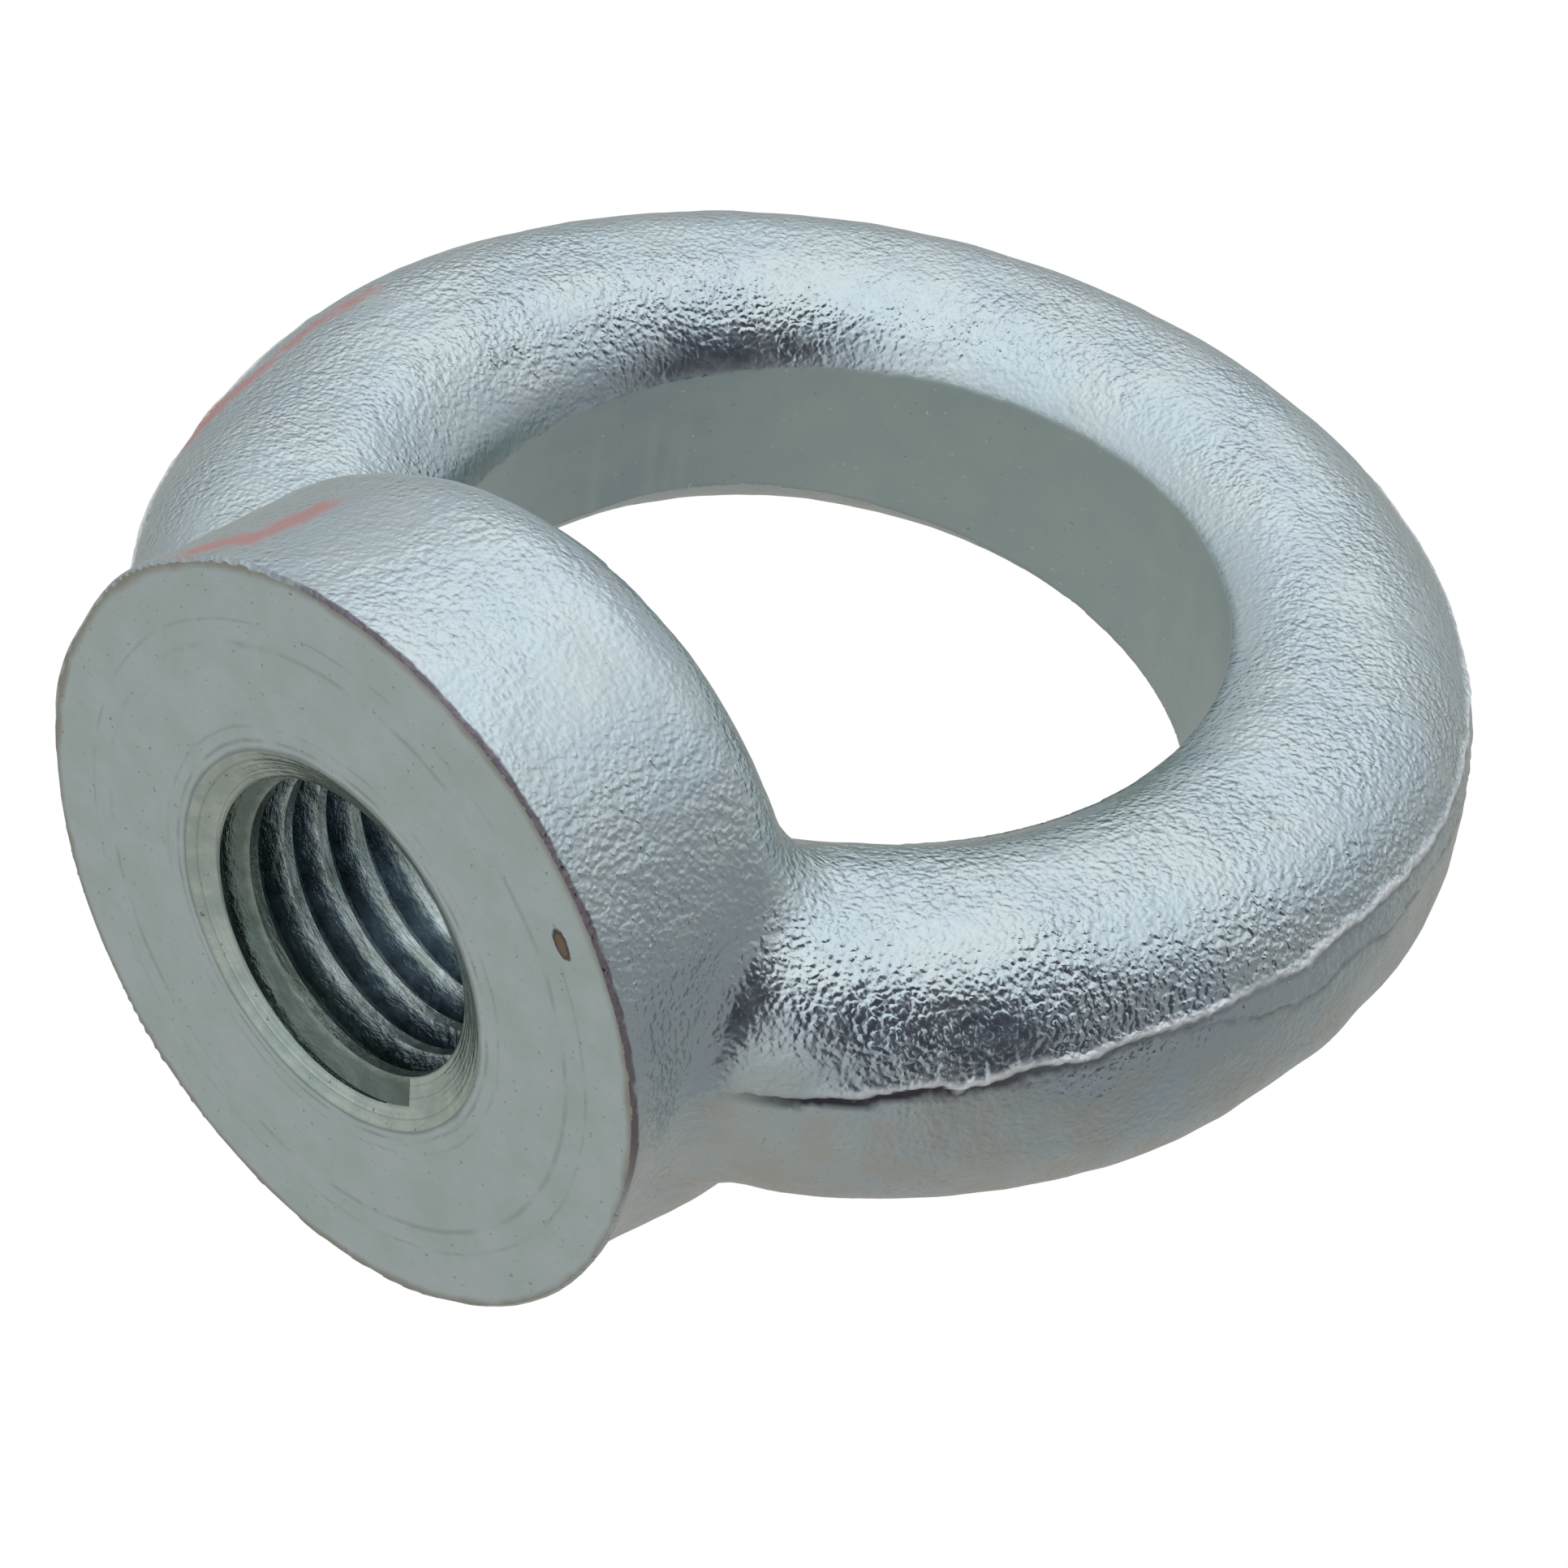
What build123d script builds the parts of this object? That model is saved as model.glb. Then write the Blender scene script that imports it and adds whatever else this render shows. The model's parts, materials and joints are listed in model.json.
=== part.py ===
from build123d import *
from math import radians, tan
import os

# Lifting eye nut for an M16 bolt: one drop-forged piece of steel, zinc plated.
# The origin is the centre of the threaded bore on the seat face, +Z runs up the
# bolt axis through the eye, and the ring lies in the XZ plane. Millimetres.

BOSS_DIAMETER = 35.0
BOSS_HEIGHT = 13.2
BOSS_SHOULDER_RADIUS = 4.5
SEAT_EDGE_CHAMFER = 0.2

RING_OUTER_DIAMETER = 63.0
RING_BAR_WIDTH = 14.0
RING_BAR_THICKNESS = 14.0
RING_BAR_CORNER_RADIUS = 6.2
LEG_BLEND_RADIUS = 3.5

# The ring stands so that its forged opening dips just below the top of the boss.
RING_DIP = 0.2
RING_INNER_RADIUS = RING_OUTER_DIAMETER / 2 - RING_BAR_WIDTH
RING_CENTRE_HEIGHT = BOSS_HEIGHT - RING_DIP + RING_INNER_RADIUS

# The eye is punched after forging, wider than the forged opening. The punch lands
# a little high and to the +X side, so the flat wall it leaves is broadest there.
PUNCH_ALLOWANCE = 1.0
PUNCH_RISE = 0.3
PUNCH_SIDE_SHIFT = 0.8
EYE_RADIUS = RING_INNER_RADIUS + PUNCH_ALLOWANCE
EYE_CENTRE_HEIGHT = RING_CENTRE_HEIGHT + PUNCH_RISE

THREAD_MINOR_DIAMETER = 13.835
COUNTERSINK_DIAMETER = 17.8
COUNTERSINK_ANGLE = 120.0


def forged_boss():
    """The round boss under the ring, with its upper shoulder rounded off."""
    boss = extrude(Circle(BOSS_DIAMETER / 2), BOSS_HEIGHT)
    shoulder = boss.edges().group_by(Axis.Z)[-1]
    return fillet(shoulder, BOSS_SHOULDER_RADIUS)


def forged_ring():
    """A rounded square bar turned about the ring's axis, above the seat face."""
    bar = RectangleRounded(RING_BAR_WIDTH, RING_BAR_THICKNESS, RING_BAR_CORNER_RADIUS)
    bar = Pos(RING_INNER_RADIUS + RING_BAR_WIDTH / 2, 0, RING_CENTRE_HEIGHT) * bar
    ring = revolve(bar, Axis((0, 0, RING_CENTRE_HEIGHT), (0, 1, 0)))
    return split(ring, Plane.XY, keep=Keep.TOP)


def forging():
    """Boss and ring in one, with a fillet all round where each leg leaves the boss."""
    boss = forged_boss()
    ring = forged_ring()
    body = boss + ring
    joins = new_edges(boss, ring, combined=body)
    body = fillet(joins, LEG_BLEND_RADIUS)
    seat_edge = body.edges().group_by(Axis.Z)[0]
    return chamfer(seat_edge, SEAT_EDGE_CHAMFER)


def eye_punch():
    """What the punch takes out along the ring's axis, and what it shaves off the boss."""
    punch = Cylinder(EYE_RADIUS, 2 * BOSS_DIAMETER, rotation=(90, 0, 0))
    return Pos(PUNCH_SIDE_SHIFT, 0, EYE_CENTRE_HEIGHT) * punch


def bore():
    """The thread's minor diameter from the seat face into the eye, countersunk below."""
    bore_radius = THREAD_MINOR_DIAMETER / 2
    sink_radius = COUNTERSINK_DIAMETER / 2
    sink_depth = (sink_radius - bore_radius) / tan(radians(COUNTERSINK_ANGLE / 2))
    hole = extrude(Circle(bore_radius), EYE_CENTRE_HEIGHT)
    sink = Cone(sink_radius, bore_radius, sink_depth, align=(Align.CENTER, Align.CENTER, Align.MIN))
    return hole + sink


eye_nut = forging() - eye_punch() - bore()
os.makedirs("parts", exist_ok=True)
export_step(eye_nut, "parts/eye_nut.step")
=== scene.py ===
import json
import math

import bmesh
import bpy
import numpy as np
from mathutils import Matrix, Vector, noise

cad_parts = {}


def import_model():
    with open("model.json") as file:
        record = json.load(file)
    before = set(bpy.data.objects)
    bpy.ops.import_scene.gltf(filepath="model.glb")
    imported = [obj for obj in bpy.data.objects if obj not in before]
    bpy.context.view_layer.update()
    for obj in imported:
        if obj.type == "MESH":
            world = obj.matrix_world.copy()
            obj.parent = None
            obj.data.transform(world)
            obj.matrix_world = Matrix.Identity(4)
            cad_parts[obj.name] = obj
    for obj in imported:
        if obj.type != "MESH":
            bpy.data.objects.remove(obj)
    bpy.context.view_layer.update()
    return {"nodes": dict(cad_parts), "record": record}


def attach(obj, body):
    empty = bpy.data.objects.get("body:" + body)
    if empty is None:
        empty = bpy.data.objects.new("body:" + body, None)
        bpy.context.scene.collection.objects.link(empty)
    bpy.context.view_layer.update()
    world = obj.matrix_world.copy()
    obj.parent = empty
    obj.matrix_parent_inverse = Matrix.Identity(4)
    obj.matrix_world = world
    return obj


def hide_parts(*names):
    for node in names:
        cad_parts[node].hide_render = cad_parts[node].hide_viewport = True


# A zinc plated lifting eye nut. The part is dressed the way it is made: the forged skin
# comes from the frame's own mesh, and the facing tool, the countersink, the tap and the
# punch then cut it, each leaving its own finish. Sizes are in millimetres, and MM turns
# them into the scene's metres.

MM = 0.001
NODE = "eye_nut"

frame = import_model()


# ---------------------------------------------------------------- sizes from the frame

def vectors(items, name):
    """The named vector of each vertex or face, one to a row."""
    flat = np.empty(len(items) * 3)
    items.foreach_get(name, flat)
    return flat.reshape(-1, 3)


def vertices_mm(mesh):
    """Where the mesh's vertices lie, in millimetres."""
    return vectors(mesh.vertices, "co") / MM


MOUNTS = {mount["name"]: mount for mount in frame["record"]["mounts"]}
FRAME_POINTS = vertices_mm(frame["nodes"][NODE].data)
SEAT_POINTS = FRAME_POINTS[FRAME_POINTS[:, 2] < 0.001]
BOSS_RADIUS = FRAME_POINTS[:, 1].max()
RING_RADIUS = FRAME_POINTS[:, 0].max()
RING_CENTRE = FRAME_POINTS[:, 2].max() - RING_RADIUS
BAR_RADIUS = FRAME_POINTS[FRAME_POINTS[:, 2] > RING_CENTRE, 1].max()
EYE_SIDE = MOUNTS["eye"]["pos_m"][0] / MM
EYE_CENTRE = MOUNTS["eye"]["pos_m"][2] / MM
EYE_RADIUS = np.hypot(FRAME_POINTS[:, 0] - EYE_SIDE, FRAME_POINTS[:, 2] - EYE_CENTRE).min()
BORE_RADIUS = MOUNTS["thread"]["dims"]["r_mm"]
BORE_TOP = EYE_CENTRE - EYE_RADIUS
SINK_ANGLE = 120
SINK_RADIUS = np.hypot(SEAT_POINTS[:, 0], SEAT_POINTS[:, 1]).min()
SINK_SLOPE = math.tan(math.radians(SINK_ANGLE / 2))
SINK_TOP = 1.3

# The M16 thread, whose minor diameter is the bore. The tap starts below the seat and ends
# above the bore.
THREAD_PITCH = 2.0
THREAD_FLANK_ANGLE = 30
THREAD_DEPTH = 5 / 8 * THREAD_PITCH * math.cos(math.radians(THREAD_FLANK_ANGLE))
THREAD_RADIUS = BORE_RADIUS + THREAD_DEPTH
THREAD_START_ANGLE = 20.0
THREAD_STEPS = 96
TAP_LEAD_TURNS = 1.5
TAP_OVERRUN = 4

# How far each machined surface is left proud before its tool cuts it clean.
STOCK = 0.15

# How near to a surface a point or a face has to lie to count as on it.
NEAR = 0.02
NEAR_UNCUT_WALL = 0.03
NEAR_SINK = 0.05
NEAR_CUT_SEAT = 0.01


# ---------------------------------------------------------------- the forged skin

# The cells that carry the skin's relief are about 0.4 mm across, and split into finer ones
# within these distances of the flash's edge and of its step.
CELL_DEPTH = 8
CELL_SCALE = 0.62
FINE_BESIDE_EDGE = 0.5
FINE_BESIDE_STEP = 0.35

# The dies met off the middle of the ring, nearer to it beside the boss.
PARTING_Y = -4.2
PARTING_Y_AT_BOSS = -1.8
PARTING_BOSS_HEIGHT = 5.6
PARTING_RISE = 10.0

# The trimmed flash is a sharp edge, a step beneath it, and a band between the two that
# widens round the +X side. It begins at this many degrees round the ring.
FLASH_RIDGE = 0.17
FLASH_STEP = 0.16
FLASH_BAND = 1.5
FLASH_BAND_NARROW = 0.12
FLASH_BAND_DEPTH = 0.06
FLASH_BEGINS = -47

# Where the forging is off its true form: degrees round the ring from +X through the top,
# and how far that reaches; degrees round the bar from its outside through -Y, and how far
# that reaches; and the height out of the skin.
OFF_FORM = (
    (180, 30, 150, 20, -0.45),
    (175, 32, -150, 22, 0.50),
    (148, 12, 150, 18, -0.25),
    (85, 40, -128, 25, -0.28),
    (-35, 28, -90, 50, 0.40),
    (202, 15, 52, 35, -0.60),
    (14, 4, 2, 18, -0.25),
    (7, 4, -18, 18, -0.25),
    (-3, 7, -35, 20, -0.30),
    (22, 12, 50, 30, 0.20),
)

# Where the boss is hollow beside its rim: degrees round it from +X and height, each with
# how far it reaches, and the height out of the skin.
BOSS_HOLLOW = (20, 20, 3.8, 2.8, -0.95)


def remeshed(source):
    """A copy of a frame node as even cells, with its sharp edges kept."""
    piece = source.copy()
    piece.data = source.data.copy()
    bpy.context.scene.collection.objects.link(piece)
    weld = bmesh.new()
    weld.from_mesh(piece.data)
    bmesh.ops.remove_doubles(weld, verts=weld.verts, dist=0.001 * MM)
    weld.to_mesh(piece.data)
    weld.free()
    remesh = piece.modifiers.new("cells", "REMESH")
    remesh.mode = "SHARP"
    remesh.octree_depth = CELL_DEPTH
    remesh.scale = CELL_SCALE
    depsgraph = bpy.context.evaluated_depsgraph_get()
    mesh = bpy.data.meshes.new_from_object(piece.evaluated_get(depsgraph))
    bpy.data.objects.remove(piece)
    return mesh


def waves(points, size, seed):
    """Smooth noise from -1 to 1 over features of about the given size."""
    shift = Vector((seed, 2.3 * seed, -1.7 * seed))
    return np.array([noise.noise(Vector(p) / size + shift) for p in points])


def smooth_step(value, low, high):
    """0 up to low, 1 from high on, and a smooth rise between them."""
    t = np.clip((value - low) / (high - low), 0, 1)
    return t * t * (3 - 2 * t)


def window(value, rise_from, rise_to, fall_from, fall_to):
    """1 between a smooth rise and a smooth fall, and 0 outside them."""
    return smooth_step(value, rise_from, rise_to) * (1 - smooth_step(value, fall_from, fall_to))


def hump(value, centre, reach):
    """1 at the centre, dying away over about the given reach."""
    return np.exp(-(((value - centre) / reach) ** 2))


def ring_degrees(points):
    """Degrees round the ring from +X through the top, -90 to 270, and round the bar from its
    outside through -Y."""
    x, y, z = points.T
    round_ring = (np.degrees(np.arctan2(z - RING_CENTRE, x)) + 90) % 360 - 90
    out = np.hypot(x, z - RING_CENTRE) - (RING_RADIUS - BAR_RADIUS)
    return round_ring, np.degrees(np.arctan2(-y, out))


def turned_from(degrees, start):
    """How far round it is from the start, -180 to 180 degrees."""
    return (degrees - start + 180) % 360 - 180


def below_parting(points):
    """How far each point is past the parting line, towards +Y."""
    above_boss = np.maximum(points[:, 2] - PARTING_BOSS_HEIGHT, 0)
    drift = (PARTING_Y_AT_BOSS - PARTING_Y) * np.exp(-above_boss / PARTING_RISE)
    return points[:, 1] - PARTING_Y - drift


def flash_band(points):
    """How wide the trimmed band is beneath the flash's edge."""
    round_ring, _ = ring_degrees(points)
    return FLASH_BAND_NARROW + FLASH_BAND * smooth_step(round_ring, -25, 0)


def on_outside(points):
    """1 on the outer face of the ring and of the boss, 0 inside them."""
    return smooth_step(np.hypot(points[:, 0], points[:, 2] - RING_CENTRE), 25, 28)


def refined_at_flash(mesh):
    """Splits the cells along the flash's edge and its step, so that they can hold them."""
    bm = bmesh.new()
    bm.from_mesh(mesh)
    points = vertices_mm(mesh)
    past = below_parting(points)
    near = (abs(past) < FINE_BESIDE_EDGE) | (abs(past - flash_band(points)) < FINE_BESIDE_STEP)
    near &= (on_outside(points) > 0) & (points[:, 2] > 0.3)
    edges = [e for e in bm.edges if near[e.verts[0].index] and near[e.verts[1].index]]
    bmesh.ops.subdivide_edges(bm, edges=edges, cuts=2, use_grid_fill=True)
    bmesh.ops.triangulate(bm, faces=[f for f in bm.faces if len(f.verts) > 4])
    bm.normal_update()
    bm.to_mesh(mesh)
    bm.free()


def flash_form(past, band, sharpness, begun):
    """The height of the flash's edge, less the depth of its band and of its step."""
    ridge = FLASH_RIDGE * sharpness * hump(past, -0.05, 0.20) * (0.2 + 0.8 * begun)
    band_face = FLASH_BAND_DEPTH * window(past, 0.05, 0.25, band, band + 0.2)
    step = FLASH_STEP * window(past, band - 0.05, band + 0.15, band + 0.5, band + 3.5)
    return ridge - step - band_face


def flash_shadow_and_grime(past, band, sharpness, round_ring):
    """The painted shadow, with some grime, under the edge, in a line that thins out round the +X side,
    and under the step."""
    thin = smooth_step(round_ring, -45, -10)
    under_edge = window(past, 0.06, 0.14, 0.48 - 0.2 * thin, 0.80 - 0.35 * thin)
    under_edge *= np.clip(0.5 + sharpness, 0, 1) * (1 - 0.7 * thin)
    under_edge *= smooth_step(round_ring, FLASH_BEGINS - 9, FLASH_BEGINS - 2)
    under_step = window(past, band - 0.05, band + 0.08, band + 0.10, band + 0.40)
    under_step *= smooth_step(round_ring, -25, -10)
    return np.maximum(under_edge, 0.4 * under_step)


def flash_relief(points):
    """The trimmed flash round the outside of the ring and down the boss: its height, the painted shadow
    and grime under its edge, and the painted highlight along that edge."""
    past = below_parting(points) + 0.25 * waves(points, 2.0, 11) + 0.12 * waves(points, 0.5, 12)
    band = flash_band(points) * (1 + 0.4 * waves(points, 4.0, 13))
    outside = on_outside(points) * smooth_step(points[:, 2], 0.5, 5.0)
    sharpness = np.clip(0.75 + 0.8 * waves(points, 3.0, 14), 0.2, 1.3)
    round_ring, _ = ring_degrees(points)
    begun = smooth_step(round_ring, FLASH_BEGINS - 3, FLASH_BEGINS + 3)
    shadow_and_grime = flash_shadow_and_grime(past, band, sharpness, round_ring)
    # Where the flash's edge gets a painted highlight.
    bright = np.clip(0.45 + sharpness, 0, 1) * hump(past, -0.08, 0.14) * begun
    form = outside * flash_form(past, band, sharpness, begun)
    return form, np.clip(outside * shadow_and_grime, 0, 1), np.clip(outside * bright, 0, 1)


def off_form(points):
    """How far the dies, the trimming and the handling left the forging off its true form."""
    round_ring, round_bar = ring_degrees(points)
    lift = 0.09 * waves(points, 6.0, 1) + 0.045 * waves(points, 2.2, 2)
    on_ring = smooth_step(points[:, 2], 2.0, 7.0)
    for at_ring, ring_reach, at_bar, bar_reach, height in OFF_FORM:
        along = hump(turned_from(round_ring, at_ring), 0, ring_reach)
        about = hump(turned_from(round_bar, at_bar), 0, bar_reach)
        lift += height * on_ring * along * about
    at_turn, turn_reach, at_height, height_reach, height = BOSS_HOLLOW
    round_boss = np.degrees(np.arctan2(points[:, 1], points[:, 0]))
    lift += height * hump(round_boss, at_turn, turn_reach) * hump(points[:, 2], at_height, height_reach)
    return lift


def forged_skin(mesh):
    """Gives the forged surface its true relief, and leaves stock on what is machined."""
    points = vertices_mm(mesh)
    x, y, z = points.T
    from_axis = np.hypot(x, y)
    from_eye = np.hypot(x - EYE_SIDE, z - EYE_CENTRE)
    on_seat = z < NEAR
    on_wall = from_eye < EYE_RADIUS + NEAR_UNCUT_WALL
    in_bore = (from_axis < SINK_RADIUS + NEAR) & (z < BORE_TOP + 2) & ~on_wall

    form = off_form(points)
    form[on_seat | in_bore] = 0
    near_wall = 1 - smooth_step(from_eye, EYE_RADIUS, EYE_RADIUS + 3)
    form -= np.minimum(form, 0) * near_wall
    flash, shadow_and_grime, bright = flash_relief(points)
    grain = (flash + 0.022 * waves(points, 1.0, 3)) * smooth_step(z, 0.2, 1.2)
    grain += (1 - smooth_step(z, 0.0, 2.5)) * (0.10 + 0.12 * waves(points, 4.0, 4))
    grain[on_seat | in_bore | on_wall] = 0
    moved = points + vectors(mesh.vertices, "normal") * (form + grain)[:, None]

    moved[on_seat, 2] -= STOCK / 2
    towards_wall = np.stack([x - EYE_SIDE, 0 * y, z - EYE_CENTRE], 1) / from_eye[:, None]
    moved[on_wall] -= STOCK * towards_wall[on_wall]
    towards_bore = np.stack([x, y, 0 * z], 1) / np.maximum(from_axis, 1)[:, None]
    moved[in_bore] -= STOCK * towards_bore[in_bore]
    mesh.vertices.foreach_set("co", (moved * MM).ravel())
    # The painted shadow and grime under the flash's edge, and its painted highlight, are carried to the
    # shader.
    mesh.attributes.new("shadow_and_grime", "FLOAT", "POINT").data.foreach_set("value", shadow_and_grime)
    mesh.attributes.new("flash_edge_highlight", "FLOAT", "POINT").data.foreach_set("value", bright)
    mesh.update()


# ---------------------------------------------------------------- the tools that cut it

def tool_from(name, bm):
    """The tool's object, from a bmesh in millimetres."""
    bmesh.ops.recalc_face_normals(bm, faces=bm.faces)
    bm.transform(Matrix.Scale(MM, 4))
    mesh = bpy.data.meshes.new(name)
    bm.to_mesh(mesh)
    bm.free()
    tool = bpy.data.objects.new(name, mesh)
    bpy.context.scene.collection.objects.link(tool)
    return tool


def lathe(name, profile, steps=256):
    """A solid turned about Z from (radius, height) points, closed flat at both ends."""
    bm = bmesh.new()
    turns = [2 * math.pi * i / steps for i in range(steps)]
    rings = []
    for radius, height in profile:
        rings.append([bm.verts.new((radius * math.cos(t), radius * math.sin(t), height)) for t in turns])
    for low, high in zip(rings, rings[1:]):
        for i in range(steps):
            j = (i + 1) % steps
            bm.faces.new((low[i], low[j], high[j], high[i]))
    bm.faces.new(list(reversed(rings[0])))
    bm.faces.new(rings[-1])
    return tool_from(name, bm)


def facing_tool():
    """The cutter that faces the seat."""
    reach = BOSS_RADIUS + 5
    return lathe("facing_tool", ((reach, -3), (reach, 0)))


def countersink_tool():
    """The cone that opens the bore, from below the seat to its tip."""
    tip = SINK_RADIUS / SINK_SLOPE
    return lathe("countersink_tool", ((SINK_RADIUS + SINK_SLOPE, -1), (0.01, tip)))


def punch_tool():
    """The punch that shears the eye, along Y."""
    reach = 2 * BOSS_RADIUS
    punch = lathe("punch_tool", ((EYE_RADIUS, -reach), (EYE_RADIUS, reach)), 360)
    turn = Matrix.Rotation(math.radians(90), 4, "X")
    punch.data.transform(Matrix.Translation((EYE_SIDE * MM, 0, EYE_CENTRE * MM)) @ turn)
    return punch


def thread_edges():
    """The four edges in one turn of the thread, as (radius, height)."""
    flank = THREAD_DEPTH * math.tan(math.radians(THREAD_FLANK_ANGLE))
    root = THREAD_PITCH / 8
    return (
        (BORE_RADIUS, 0.0),
        (BORE_RADIUS, THREAD_PITCH - 2 * flank - root),
        (THREAD_RADIUS, THREAD_PITCH - flank - root),
        (THREAD_RADIUS, THREAD_PITCH - flank),
    )


def tap_columns(bm):
    """The points up the side of the tap at each step round it, climbing a pitch in all."""
    turns = math.ceil((BORE_TOP + TAP_OVERRUN) / THREAD_PITCH) + 1
    columns = []
    for i in range(THREAD_STEPS + 1):
        angle = 2 * math.pi * i / THREAD_STEPS
        climb = THREAD_PITCH * (i / THREAD_STEPS - TAP_LEAD_TURNS - THREAD_START_ANGLE / 360)
        column = []
        for turn in range(turns):
            for radius, rise in thread_edges():
                height = climb + rise + turn * THREAD_PITCH
                column.append(bm.verts.new((radius * math.cos(angle), radius * math.sin(angle), height)))
        columns.append(column)
    return columns


def tap_tool():
    """The tap: a core at the minor diameter with one right-hand thread, closed at each end
    by a fan of faces round a hub."""
    bm = bmesh.new()
    columns = tap_columns(bm)
    for left, right in zip(columns, columns[1:]):
        for k in range(len(left) - 1):
            bm.faces.new((left[k], right[k], right[k + 1], left[k + 1]))
    first, last = columns[0], columns[-1]
    low_hub = bm.verts.new((0, 0, first[0].co.z + THREAD_PITCH / 2))
    high_hub = bm.verts.new((0, 0, first[-1].co.z + THREAD_PITCH / 2))
    for left, right in zip(columns, columns[1:]):
        bm.faces.new((low_hub, right[0], left[0]))
        bm.faces.new((high_hub, left[-1], right[-1]))
    for k in range(len(thread_edges())):
        bm.faces.new((low_hub, first[k + 1], first[k]))
        bm.faces.new((high_hub, last[-2 - k], last[-1 - k]))
    bmesh.ops.remove_doubles(bm, verts=bm.verts, dist=0.0001)
    return tool_from("tap_tool", bm)


def cut(piece, tool):
    """Takes the tool's solid out of the piece, and the tool out of the scene."""
    boolean = piece.modifiers.new("cut", "BOOLEAN")
    boolean.operation = "DIFFERENCE"
    boolean.solver = "MANIFOLD"
    boolean.object = tool
    depsgraph = bpy.context.evaluated_depsgraph_get()
    mesh = bpy.data.meshes.new_from_object(piece.evaluated_get(depsgraph))
    piece.modifiers.clear()
    piece.data = mesh
    bpy.data.objects.remove(tool)


# ---------------------------------------------------------------- materials

# The two tones between which the plating drifts on each surface.
SKIN_TONES = ((0.59, 0.68, 0.72, 1), (0.63, 0.70, 0.71, 1))
SEAT_TONES = ((0.64, 0.75, 0.74, 1), (0.71, 0.81, 0.83, 1))
SINK_TONES = ((0.54, 0.64, 0.60, 1), (0.70, 0.78, 0.71, 1))
WALL_TONES = ((0.51, 0.62, 0.62, 1), (0.55, 0.65, 0.64, 1))
CREST_TONES = ((0.46, 0.53, 0.49, 1), (0.68, 0.76, 0.76, 1))
# The thread's grooves are painted darker than its crests, as painted shade.
SHADED_ROOT_TONES = ((0.17, 0.22, 0.24, 1), (0.28, 0.35, 0.39, 1))

# What lies on the plating, with the painted shadow and painted highlight along the flash's edge.
UNDERSIDE_BLOTCH = (0.62, 0.61, 0.56, 1)
SKIN_SPECK = (0.25, 0.26, 0.25, 1)
RIM_STAIN = (0.16, 0.11, 0.14, 1)
# A painted shadow, with some grime, under the flash's edge.
SHADOW_AND_GRIME = (0.045, 0.038, 0.060, 1)
# A painted highlight along the flash's edge.
PAINTED_EDGE_HIGHLIGHT = (1.0, 1.0, 1.0, 1)
RED_PAINT = (0.62, 0.16, 0.13, 1)
SEAT_GROOVE = (0.16, 0.20, 0.20, 1)
SEAT_SPECK = (0.20, 0.22, 0.20, 1)
WORN_RIM = (0.42, 0.38, 0.31, 1)
PIT_RIM = (0.15, 0.12, 0.11, 1)
PIT_RUST = (0.30, 0.22, 0.16, 1)
SINK_RING = (0.20, 0.24, 0.24, 1)
SINK_SPECK = (0.12, 0.13, 0.12, 1)
WALL_GLINT = (0.95, 1.0, 1.0, 1)
WALL_SPECK = (0.25, 0.27, 0.25, 1)
FIRST_TURN = (0.19, 0.24, 0.18, 1)
THREAD_TEAR = (0.06, 0.07, 0.06, 1)

# The zinc's beads on the forged skin, and the coarser peel between them.
BEAD_SIZE = 0.27
PEEL_SIZE = 0.42

# Faint lines left on the seat: radius, half width, depth of tone, and whether the line is
# broken up.
SEAT_RINGS = (
    (SINK_RADIUS + 0.05, 0.22, 0.5, False),
    (SINK_RADIUS + 0.50, 0.16, 0.35, True),
    (SINK_RADIUS + 1.15, 0.14, 0.2, True),
    (13.8, 0.22, 0.25, True),
    (14.9, 0.14, 0.2, True),
)

# The pit in the seat: both ends, and its width.
SEAT_PIT = (Vector((12.1, -9.65)), Vector((13.0, -8.4)))
SEAT_PIT_WIDTH = 0.8

# Where the middle of the rim's stain lies, in degrees round the boss from +X.
RIM_STAIN_DEGREES = -50

# Strokes of red marking paint: both ends and how far it spread.
RED_STROKES = (
    ((-9.8, -14.6, 1.0), (-8.3, -15.5, 2.2), 1.0),
    ((-8.0, -15.6, 2.2), (-7.6, -15.7, 5.8), 0.9),
    ((-27.1, -3.0, 15.8), (-27.8, -4.9, 21.5), 0.9),
    ((-28.0, -5.2, 23.1), (-27.9, -6.2, 28.5), 0.6),
)


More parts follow.
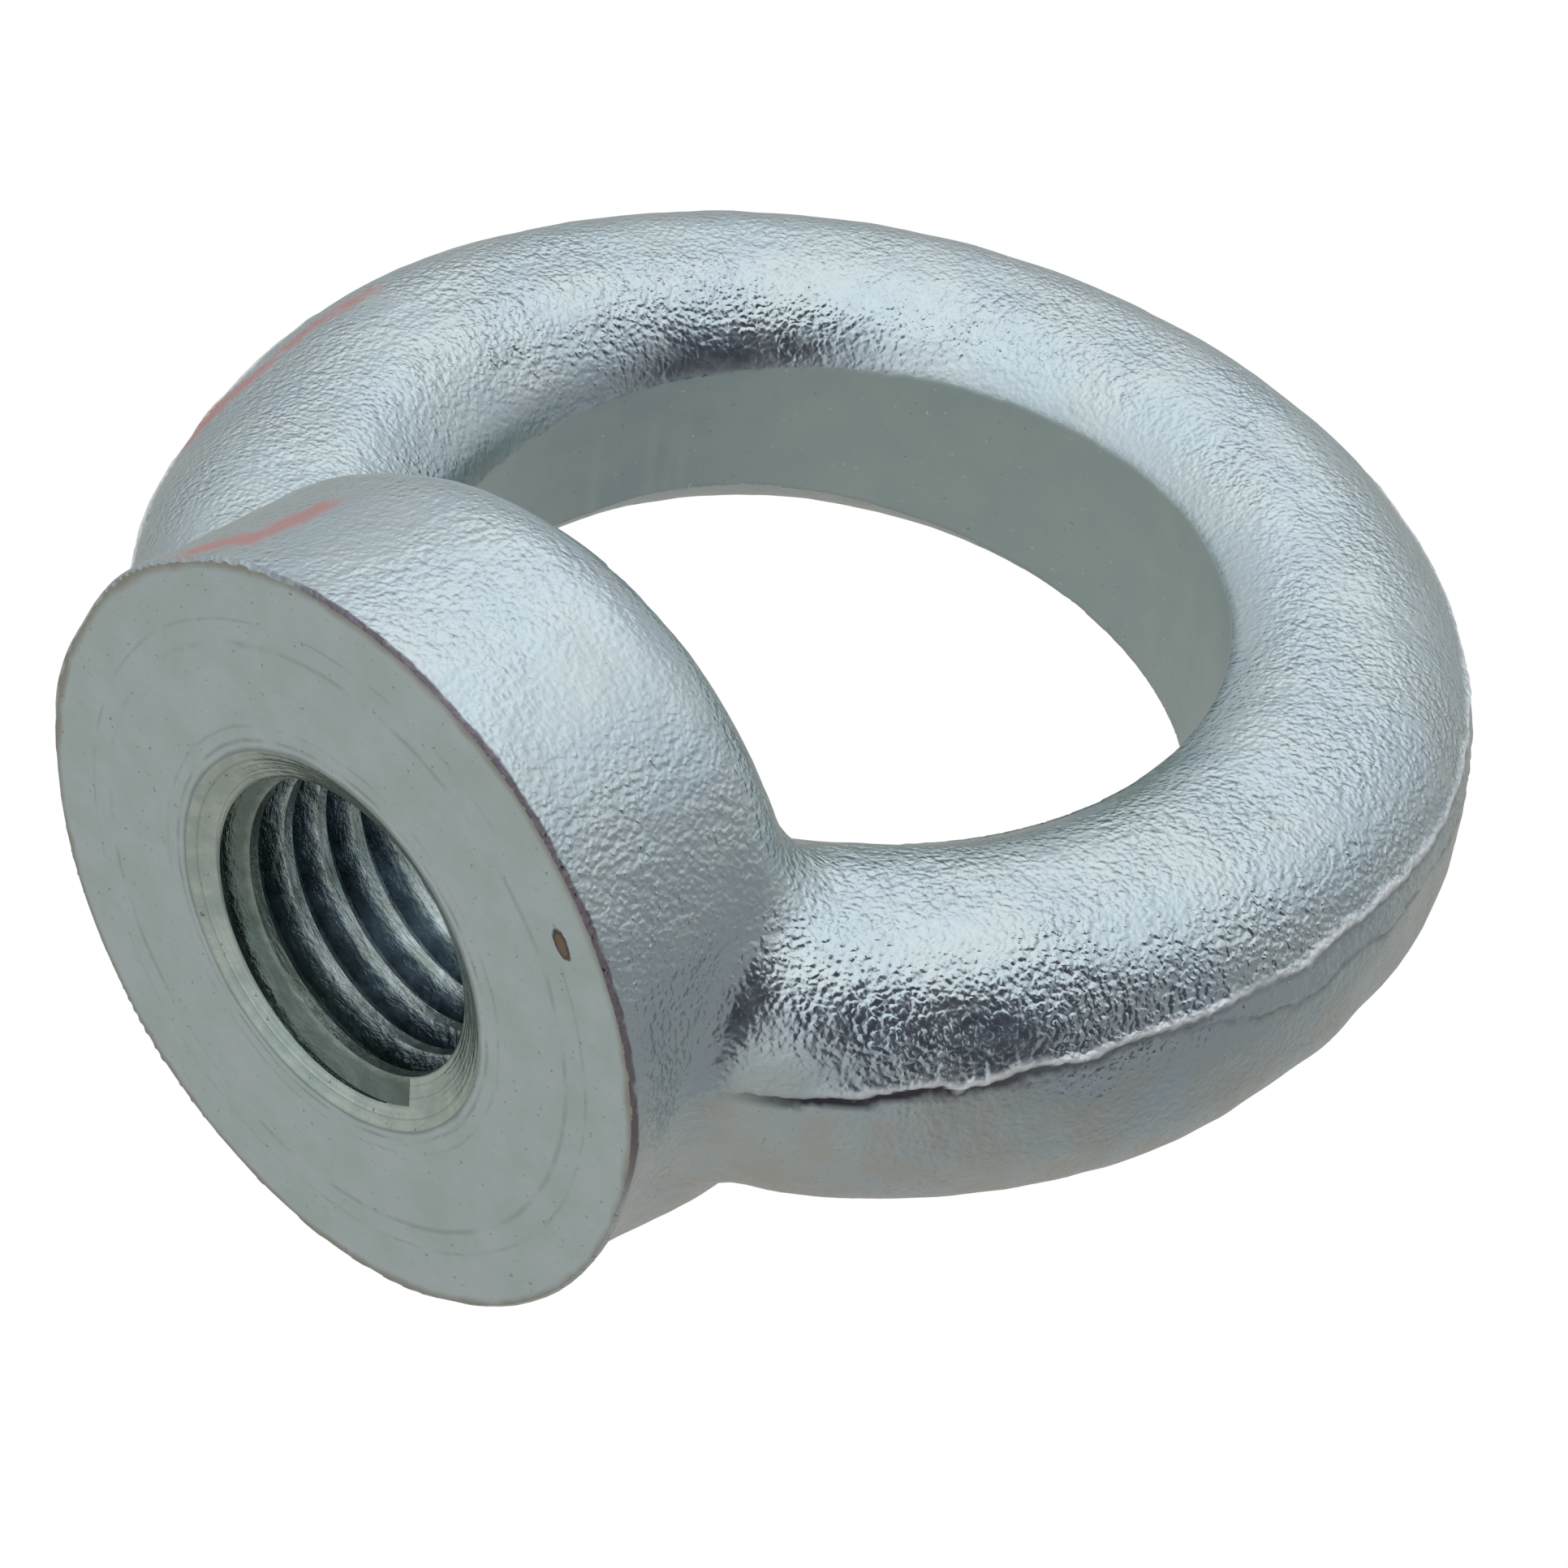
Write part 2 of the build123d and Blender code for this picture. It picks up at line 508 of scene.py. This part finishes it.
class Nodes:
    """A short way to write a material's node tree. A value is what another node gives, or a
    plain number, vector or colour."""

    def __init__(self, name):
        self.material = bpy.data.materials.new(name)
        self.material.use_nodes = True
        self.tree = self.material.node_tree
        self.tree.nodes.clear()

    def put(self, socket, value):
        if isinstance(value, bpy.types.NodeSocket):
            self.tree.links.new(value, socket)
        else:
            socket.default_value = value

    def add(self, kind, settings=None, **inputs):
        """A new node with its settings and its inputs, an underscore standing for a space."""
        node = self.tree.nodes.new(kind)
        for key, value in (settings or {}).items():
            setattr(node, key, value)
        for key, value in inputs.items():
            self.put(node.inputs[key.replace("_", " ")], value)
        return node

    def math(self, operation, *values):
        node = self.add("ShaderNodeMath", {"operation": operation})
        for socket, value in zip(node.inputs, values):
            self.put(socket, value)
        return node.outputs[0]

    def plus(self, a, b):
        return self.math("ADD", a, b)

    def minus(self, a, b):
        return self.math("SUBTRACT", a, b)

    def times(self, a, b):
        return self.math("MULTIPLY", a, b)

    def vector(self, operation, *values):
        node = self.add("ShaderNodeVectorMath", {"operation": operation})
        for socket, value in zip(node.inputs, values):
            self.put(socket, value)
        if operation in ("DOT_PRODUCT", "LENGTH", "DISTANCE"):
            return node.outputs["Value"]
        return node.outputs["Vector"]

    def scaled(self, vector, factor):
        node = self.add("ShaderNodeVectorMath", {"operation": "SCALE"}, Vector=vector, Scale=factor)
        return node.outputs["Vector"]

    def millimetres(self):
        """The point on the part, in millimetres, in the part's own frame."""
        return self.scaled(self.add("ShaderNodeTexCoord").outputs["Object"], 1 / MM)

    def parts(self, place):
        """The point's X, Y and Z."""
        return self.add("ShaderNodeSeparateXYZ", Vector=place).outputs

    def from_axis(self, place):
        """How far the point is from the bolt's axis."""
        return self.vector("LENGTH", self.vector("MULTIPLY", place, (1.0, 1.0, 0.0)))

    def noise(self, place, size, detail=2.0, roughness=0.5):
        """Noise from 0 to 1 with features of about the given size in millimetres."""
        node = self.add("ShaderNodeTexNoise", Vector=place, Scale=1 / size, Detail=detail)
        node.inputs["Roughness"].default_value = roughness
        return node.outputs["Fac"]

    def rings(self, radius, count, detail):
        """Rings as a tool leaves them: noise of about so many to the millimetre."""
        node = self.add("ShaderNodeTexNoise", {"noise_dimensions": "1D"}, W=radius, Detail=detail)
        node.inputs["Scale"].default_value = count
        return node.outputs["Fac"]

    def carried(self, name):
        """The value of that name that the mesh carries at the point."""
        return self.add("ShaderNodeAttribute", {"attribute_name": name}).outputs["Fac"]

    def ramp(self, value, low, high, start=0.0, end=1.0, smooth=True):
        """From start where the value is low to end where it is high."""
        node = self.add("ShaderNodeMapRange", {"interpolation_type": "SMOOTHSTEP" if smooth else "LINEAR"})
        for socket, number in zip(node.inputs, (value, low, high, start, end)):
            self.put(socket, number)
        return node.outputs["Result"]

    def mix(self, factor, a, b):
        """Colour a, turning to colour b as the factor goes from 0 to 1."""
        node = self.add("ShaderNodeMix", {"data_type": "RGBA"}, Factor=factor, A=a, B=b)
        return node.outputs["Result"]

    def output(self, surface):
        """Closes the tree with the shader that it leads to."""
        self.add("ShaderNodeOutputMaterial", Surface=surface)
        return self.material

    def finish(self, color, roughness, height, distance, round_edges, metallic=1.0):
        """Closes the tree with a metal shader, its relief in millimetres laid on edges that
        look rounded to the given radius."""
        radius = self.times(round_edges, MM)
        rounded = self.add("ShaderNodeBevel", {"samples": 2}, Radius=radius).outputs["Normal"]
        bump = self.add("ShaderNodeBump", Distance=distance * MM, Height=height, Normal=rounded)
        shader = self.add("ShaderNodeBsdfPrincipled", Metallic=metallic, Base_Color=color,
                          Roughness=roughness, Normal=bump.outputs["Normal"])
        return self.output(shader.outputs["BSDF"])


def from_wall(n, place):
    """How far the point is from the punched wall."""
    offset = n.vector("SUBTRACT", place, (EYE_SIDE, 0.0, EYE_CENTRE))
    return n.minus(n.vector("LENGTH", n.vector("MULTIPLY", offset, (1.0, 0.0, 1.0))), EYE_RADIUS)


def rim_stain(n, place):
    """How stained the point is: a ragged line along the seat's rim on the -Y and +X sides."""
    _, _, z = n.parts(place)
    turned = n.vector("NORMALIZE", n.vector("MULTIPLY", place, (1.0, 1.0, 0.0)))
    way = math.radians(RIM_STAIN_DEGREES)
    toward = n.vector("DOT_PRODUCT", turned, (math.cos(way), math.sin(way), 0.0))
    ragged = n.plus(z, n.times(n.noise(place, 1.2, 3.0, 0.6), 0.4))
    return n.times(n.ramp(ragged, 0.48, 0.32), n.ramp(toward, 0.45, 0.75, 0.0, 0.85))


def red_traces(n, place):
    """How much marking paint is left at the point: short strokes, rubbed and broken up."""
    worn = n.times(n.noise(place, 1.2, 4.0, 0.7), 2.4)
    paint = 0.0
    for start, end, reach in RED_STROKES:
        along = Vector(end) - Vector(start)
        from_start = n.vector("SUBTRACT", place, start)
        share = n.math("DIVIDE", n.vector("DOT_PRODUCT", from_start, along), along.length_squared)
        nearest = n.scaled(along, n.math("MAXIMUM", n.math("MINIMUM", share, 1.0), 0.0))
        distance = n.vector("DISTANCE", from_start, nearest)
        stroke = n.ramp(n.plus(distance, worn), reach + 1.7, reach + 0.5, 0.0, 0.65)
        paint = n.math("MAXIMUM", paint, stroke)
    return paint


def skin_height(n, place, to_wall):
    """The beads and the peel of the zinc, fainter on the underside, on the boss and beside
    the punched wall."""
    _, y, z = n.parts(place)
    warp = n.add("ShaderNodeTexNoise", Vector=place, Scale=1.6).outputs["Color"]
    drift = n.vector("MULTIPLY", n.vector("SUBTRACT", warp, (0.5, 0.5, 0.5)), (0.4, 0.4, 0.4))
    beads = n.add("ShaderNodeTexVoronoi", {"feature": "SMOOTH_F1"}, Vector=n.vector("ADD", place, drift),
                  Scale=1 / BEAD_SIZE, Smoothness=0.8)
    peel = n.noise(place, PEEL_SIZE, 1.5)
    coarse = n.ramp(n.noise(place, 5.0), 0.35, 0.65, 0.65, 1.25)
    coarse = n.times(coarse, n.ramp(y, PARTING_Y - 1, PARTING_Y + 3, 1.0, 0.5))
    coarse = n.times(coarse, n.ramp(z, 6.0, 14.0, 0.6, 1.0))
    coarse = n.times(coarse, n.ramp(to_wall, 0.5, 2.5, 0.35, 1.0))
    return n.times(n.minus(peel, n.times(beads.outputs["Distance"], 0.8)), coarse)


def skin_color(n, place):
    """The plating on the forged skin, with blotches on the underside, specks and the stain."""
    _, y, _ = n.parts(place)
    color = n.mix(n.ramp(n.noise(place, 4.0, 3.0), 0.35, 0.65), *SKIN_TONES)
    blotches = n.ramp(n.noise(place, 3.0, 4.0, 0.6), 0.42, 0.62, 0.0, 0.6)
    color = n.mix(n.times(blotches, n.ramp(y, PARTING_Y, PARTING_Y + 4)), color, UNDERSIDE_BLOTCH)
    specks = n.ramp(n.noise(place, 0.22, 2.0, 0.6), 0.68, 0.76, 0.0, 0.55)
    color = n.mix(specks, color, SKIN_SPECK)
    return n.mix(rim_stain(n, place), color, RIM_STAIN)


def forged_zinc():
    """Bright zinc over the scaled and shot-blasted skin of the forging."""
    n = Nodes("zinc_on_forged_skin")
    place = n.millimetres()
    to_wall = from_wall(n, place)
    shadow_and_grime = n.carried("shadow_and_grime")
    bright = n.carried("flash_edge_highlight")
    paint = red_traces(n, place)
    # Painted shadow, with some grime, under the flash's edge.
    color = n.mix(shadow_and_grime, skin_color(n, place), SHADOW_AND_GRIME)
    # A painted highlight: the flash's edge turns white and less metallic.
    color = n.mix(bright, color, PAINTED_EDGE_HIGHLIGHT)
    color = n.mix(paint, color, RED_PAINT)
    dull = n.math("MAXIMUM", n.math("MAXIMUM", paint, bright), shadow_and_grime)
    roughness = n.plus(n.ramp(n.noise(place, 0.8), 0.3, 0.7, 0.20, 0.30), n.times(dull, 0.25))
    metallic = n.minus(1.0, n.times(dull, 0.75))
    rolled_edge = n.ramp(to_wall, 1.8, 0.9, 0.0, 1.1)
    return n.finish(color, roughness, skin_height(n, place, to_wall), 0.11, rolled_edge, metallic)


def seat_grooves(n, place, radius, cloud):
    """How deep the point lies in the faint lines that the tool left on the seat."""
    patches = n.ramp(n.noise(place, 2.5, 3.0, 0.6), 0.40, 0.62)
    wander = n.plus(radius, n.times(n.minus(cloud, 0.5), 0.3))
    groove = 0.0
    for at, width, depth, broken in SEAT_RINGS:
        line = n.ramp(n.math("ABSOLUTE", n.minus(wander, at)), width, 0.0, 0.0, depth)
        groove = n.math("MAXIMUM", groove, n.times(line, patches) if broken else line)
    return groove


def seat_pit(n, place):
    """The small rusty pit in the seat: how far the point is in it, and on its dark rim."""
    start, end = SEAT_PIT
    way = (end - start).normalized()
    middle = (start + end) / 2
    offset = n.vector("SUBTRACT", place, (*middle, 0.0))
    along = n.math("DIVIDE", n.vector("DOT_PRODUCT", offset, (*way, 0.0)), (end - start).length / 2)
    across = n.math("DIVIDE", n.vector("DOT_PRODUCT", offset, (-way.y, way.x, 0.0)), SEAT_PIT_WIDTH / 2)
    away = n.math("SQRT", n.plus(n.times(along, along), n.times(across, across)))
    away = n.plus(away, n.times(n.noise(place, 0.4, 3.0, 0.6), 0.7))
    return n.ramp(away, 1.15, 0.85), n.ramp(away, 1.45, 1.15)


def turned_zinc():
    """The seat face, turned flat before plating."""
    n = Nodes("zinc_on_turned_face")
    place = n.millimetres()
    radius = n.from_axis(place)
    cloud = n.noise(place, 3.0, 4.0, 0.6)
    groove = seat_grooves(n, place, radius, cloud)
    pit, rim = seat_pit(n, place)
    color = n.mix(n.ramp(cloud, 0.3, 0.7), *SEAT_TONES)
    color = n.mix(groove, color, SEAT_GROOVE)
    color = n.mix(n.ramp(n.noise(place, 0.35, 2.0, 0.6), 0.66, 0.74, 0.0, 0.6), color, SEAT_SPECK)
    ragged = n.plus(radius, n.times(n.noise(place, 1.5, 3.0), 0.6))
    color = n.mix(n.ramp(ragged, 17.25, 17.75, 0.0, 0.8), color, WORN_RIM)
    color = n.mix(rim, color, PIT_RIM)
    color = n.mix(pit, color, PIT_RUST)
    height = n.plus(n.times(n.rings(radius, 3.0, 4.0), 0.5), n.times(n.noise(place, 0.25), 0.25))
    sunk = n.plus(n.plus(pit, rim), groove)
    height = n.minus(n.plus(height, cloud), n.times(sunk, 2.0))
    return n.finish(color, 0.45, height, 0.03, 0.1, 0.9)


def countersunk_zinc():
    """The countersink, left bright by its tool, with the tool's rings."""
    n = Nodes("zinc_on_countersink")
    place = n.millimetres()
    rings = n.rings(n.from_axis(place), 5.0, 3.0)
    cloud = n.noise(place, 1.5, 4.0, 0.6)
    color = n.mix(n.ramp(cloud, 0.35, 0.65), *SINK_TONES)
    color = n.mix(n.ramp(rings, 0.58, 0.75, 0.0, 0.35), color, SINK_RING)
    color = n.mix(n.ramp(n.noise(place, 0.4, 3.0, 0.6), 0.66, 0.72, 0.0, 0.7), color, SINK_SPECK)
    height = n.plus(n.times(rings, 0.6), n.times(cloud, 1.5))
    return n.finish(color, 0.25, height, 0.06, 0.25)


def punched_zinc():
    """The wall that the punch sheared along the eye's axis."""
    n = Nodes("zinc_on_punched_wall")
    place = n.millimetres()
    scores = n.noise(n.vector("MULTIPLY", place, (1.0, 0.08, 1.0)), 0.5, 3.0)
    cloud = n.noise(place, 2.5, 3.0)
    specks = n.noise(place, 0.3, 2.0, 0.6)
    color = n.mix(n.ramp(cloud, 0.3, 0.7), *WALL_TONES)
    color = n.mix(n.ramp(specks, 0.70, 0.76, 0.0, 0.8), color, WALL_GLINT)
    color = n.mix(n.ramp(specks, 0.30, 0.25, 0.0, 0.6), color, WALL_SPECK)
    height = n.plus(n.times(scores, 0.6), n.times(cloud, 0.8))
    return n.finish(color, 0.40, height, 0.03, 0.5, 0.95)


def tapped_zinc():
    """The thread: bright along the crests, with painted shade in the grooves, darker on the first turn,
    and torn along the helix by the tap."""
    n = Nodes("zinc_on_tapped_thread")
    place = n.millimetres()
    _, _, z = n.parts(place)
    cloud = n.noise(place, 1.5, 3.0, 0.6)
    drift = n.ramp(cloud, 0.35, 0.65)
    tears = n.noise(n.vector("MULTIPLY", place, (1.0, 1.0, 4.0)), 0.9, 4.0, 0.65)
    ragged = n.plus(n.from_axis(place), n.times(n.minus(tears, 0.5), 0.6))
    groove = n.ramp(ragged, BORE_RADIUS - 0.02, BORE_RADIUS + 0.30)
    # Painted shade: the grooves take the darker tones.
    color = n.mix(groove, n.mix(drift, *CREST_TONES), n.mix(drift, *SHADED_ROOT_TONES))
    color = n.mix(n.ramp(z, 3.2, 2.4, 0.0, 0.6), color, FIRST_TURN)
    color = n.mix(n.ramp(tears, 0.68, 0.74, 0.0, 0.8), color, THREAD_TEAR)
    height = n.plus(n.times(tears, 1.5), cloud)
    return n.finish(color, 0.20, height, 0.06, 0.05)


# ---------------------------------------------------------------- the dressed part

# The zones that the tools leave, the finish of each, and the angle from which an edge is
# sharp within a zone.
SKIN, SEAT, WALL, THREAD, SINK = range(5)
FINISHES = (forged_zinc, turned_zinc, punched_zinc, tapped_zinc, countersunk_zinc)
SHARP_ANGLE = 38


def tool_zones(mesh):
    """The zone of the tool that made each face."""
    x, y, z = vectors(mesh.polygons, "center").T / MM
    facing_x, _, facing_z = vectors(mesh.polygons, "normal").T
    from_axis = np.hypot(x, y)
    from_eye = np.hypot(x - EYE_SIDE, z - EYE_CENTRE)
    inward = -(facing_x * (x - EYE_SIDE) + facing_z * (z - EYE_CENTRE)) / from_eye
    zone = np.full(len(mesh.polygons), SKIN, np.int32)
    zone[(abs(from_eye - EYE_RADIUS) < NEAR) & (inward > 0.9)] = WALL
    zone[(from_axis < THREAD_RADIUS + NEAR) & (z < BORE_TOP + 3) & (zone == SKIN)] = THREAD
    on_cone = abs(from_axis - (SINK_RADIUS - z * SINK_SLOPE)) < NEAR_SINK
    zone[on_cone & (z < SINK_TOP)] = SINK
    zone[(facing_z < -0.98) & (z < NEAR_CUT_SEAT)] = SEAT
    return zone


def sharpen_between_zones(mesh):
    """Makes the edges between two finishes sharp."""
    bm = bmesh.new()
    bm.from_mesh(mesh)
    for edge in bm.edges:
        if len({face.material_index for face in edge.link_faces}) > 1:
            edge.smooth = False
    bm.to_mesh(mesh)
    bm.free()


def finish_zones(mesh):
    """Gives each face the finish of its zone, and shades it smooth up to the sharp edges."""
    mesh.materials.clear()
    for finish in FINISHES:
        mesh.materials.append(finish())
    mesh.polygons.foreach_set("material_index", tool_zones(mesh))
    mesh.polygons.foreach_set("use_smooth", np.ones(len(mesh.polygons), bool))
    mesh.set_sharp_from_angle(angle=math.radians(SHARP_ANGLE))
    sharpen_between_zones(mesh)


def dressed_nut():
    """The forging, cut by each tool in turn and finished."""
    mesh = remeshed(frame["nodes"][NODE])
    refined_at_flash(mesh)
    forged_skin(mesh)
    nut = bpy.data.objects.new("eye_nut_plated", mesh)
    bpy.context.scene.collection.objects.link(nut)
    for tool in (facing_tool(), countersink_tool(), tap_tool(), punch_tool()):
        cut(nut, tool)
    finish_zones(nut.data)
    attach(nut, "root")
    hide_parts(NODE)


# ---------------------------------------------------------------- studio

# The studio is in metres, apart from the camera's place. The light tent has a ramp of light
# from its +Y side to its -Y side, a dim room and a dark gap.
TENT_RADIUS = 0.8
TENT_STOPS = (
    (0.0, (0.38, 0.37, 0.35, 1)),
    (0.30, (0.41, 0.41, 0.39, 1)),
    (0.5, (0.46, 0.48, 0.48, 1)),
    (0.66, (0.56, 0.59, 0.61, 1)),
    (0.86, (0.79, 0.83, 0.86, 1)),
    (1.0, (1.06, 1.11, 1.14, 1)),
)
ROOM_WAY = Vector((0.93, 0.10, 0.25)).normalized()
ROOM_COLOR = (0.29, 0.30, 0.31, 1)
GAP_WAY = Vector((0.75, -0.61, -0.24)).normalized()
GAP_SHAPE = (1.0, 0.65, 1.20)
GAP_COLOR = (0.050, 0.048, 0.066, 1)

FLOOR_REACH = 3.0
FLOOR_COLOR = (0.86, 0.86, 0.86, 1)

LAMP_AIM = Vector((0, 0, 0.03))
LAMP_WAY = Vector((-0.35, -0.70, 0.62)).normalized()
LAMP_DISTANCE = 0.6
LAMP_SIZE = 0.35
LAMP_ENERGY = 0.08

# The camera, with its focal length and sensor in millimetres.
LENS = 86.9
SENSOR_WIDTH = 36
LENS_SHIFT = (-0.00255, -0.03562)
CAMERA_PLACE = Vector((81.225, -110.304, -83.364))
CAMERA_BACK = Vector((0.44929, -0.63524, -0.62817)).normalized()
CAMERA_UP = Vector((-0.49728, -0.76197, 0.41487))


def floor():
    """A pale floor under the seat face. It is solid from above and clear from below, where
    the camera looks up through it."""
    mesh = bpy.data.meshes.new("floor")
    corners = [(x * FLOOR_REACH, y * FLOOR_REACH, 0) for x, y in ((-1, -1), (1, -1), (1, 1), (-1, 1))]
    mesh.from_pydata(corners, [], [(0, 1, 2, 3)])
    card = bpy.data.objects.new("floor", mesh)
    card.location = (0, 0, -0.02 * MM)
    bpy.context.scene.collection.objects.link(card)
    n = Nodes("pale_floor")
    paint = n.add("ShaderNodeBsdfDiffuse", Color=FLOOR_COLOR).outputs[0]
    clear = n.add("ShaderNodeBsdfTransparent").outputs[0]
    either = n.add("ShaderNodeMixShader")
    sides = (n.add("ShaderNodeNewGeometry").outputs["Backfacing"], paint, clear)
    for socket, value in zip(either.inputs, sides):
        n.put(socket, value)
    card.data.materials.append(n.output(either.outputs[0]))
    card.visible_glossy = False
    card.visible_diffuse = False
    card.visible_shadow = False


def tent_material():
    """The tent's light by direction: the ramp, with the room and the gap laid over it."""
    n = Nodes("tent_light")
    way = n.vector("NORMALIZE", n.add("ShaderNodeTexCoord").outputs["Object"])
    side = n.vector("DOT_PRODUCT", way, (0, -1, 0))
    ramp = n.add("ShaderNodeValToRGB")
    n.put(ramp.inputs[0], n.ramp(side, -1.0, 1.0, smooth=False))
    elements = ramp.color_ramp.elements
    for i, (stop, color) in enumerate(TENT_STOPS):
        element = elements[i] if i < 2 else elements.new(stop)
        element.position = stop
        element.color = color
    from_room = n.vector("DISTANCE", way, ROOM_WAY)
    color = n.mix(n.ramp(from_room, 1.05, 0.40), ramp.outputs["Color"], ROOM_COLOR)
    from_gap = n.vector("LENGTH", n.vector("MULTIPLY", n.vector("SUBTRACT", way, GAP_WAY), GAP_SHAPE))
    color = n.mix(n.ramp(from_gap, 0.64, 0.36), color, GAP_COLOR)
    return n.output(n.add("ShaderNodeEmission", Color=color).outputs[0])


def tent():
    """A light tent round the part: brightest on the -Y side and grey on the other, dimmer
    towards the room and dark in the gap. It lights the part and shows in it, and not behind
    it."""
    bpy.ops.mesh.primitive_uv_sphere_add(segments=64, ring_count=32, radius=TENT_RADIUS)
    dome = bpy.context.object
    dome.name = "light_tent"
    dome.data.materials.append(tent_material())
    dome.visible_camera = False
    dome.visible_shadow = False


def key_light():
    """One large soft lamp over the part's front."""
    data = bpy.data.lights.new("key", "AREA")
    data.size = LAMP_SIZE
    data.energy = LAMP_ENERGY
    lamp = bpy.data.objects.new("key", data)
    lamp.location = LAMP_WAY * LAMP_DISTANCE + LAMP_AIM
    lamp.rotation_mode = "QUATERNION"
    lamp.rotation_quaternion = LAMP_WAY.to_track_quat("Z", "Y")
    bpy.context.scene.collection.objects.link(lamp)


def world():
    """A plain white background."""
    white = bpy.data.worlds.new("white")
    white.use_nodes = True
    white.node_tree.nodes["Background"].inputs["Color"].default_value = (1, 1, 1, 1)
    bpy.context.scene.world = white


def camera():
    """Low and close, looking up over the seat face and along the ring, and rolled."""
    data = bpy.data.cameras.new("camera")
    data.sensor_width = SENSOR_WIDTH
    data.lens = LENS
    data.shift_x, data.shift_y = LENS_SHIFT
    data.clip_start = 0.01
    eye = bpy.data.objects.new("camera", data)
    side = CAMERA_UP.cross(CAMERA_BACK).normalized()
    up = CAMERA_BACK.cross(side)
    turn = Matrix((side, up, CAMERA_BACK)).transposed().to_4x4()
    eye.matrix_world = Matrix.Translation(CAMERA_PLACE * MM) @ turn
    bpy.context.scene.collection.objects.link(eye)
    bpy.context.scene.camera = eye


dressed_nut()
floor()
tent()
key_light()
world()
camera()

bpy.context.scene.view_settings.view_transform = "Standard"
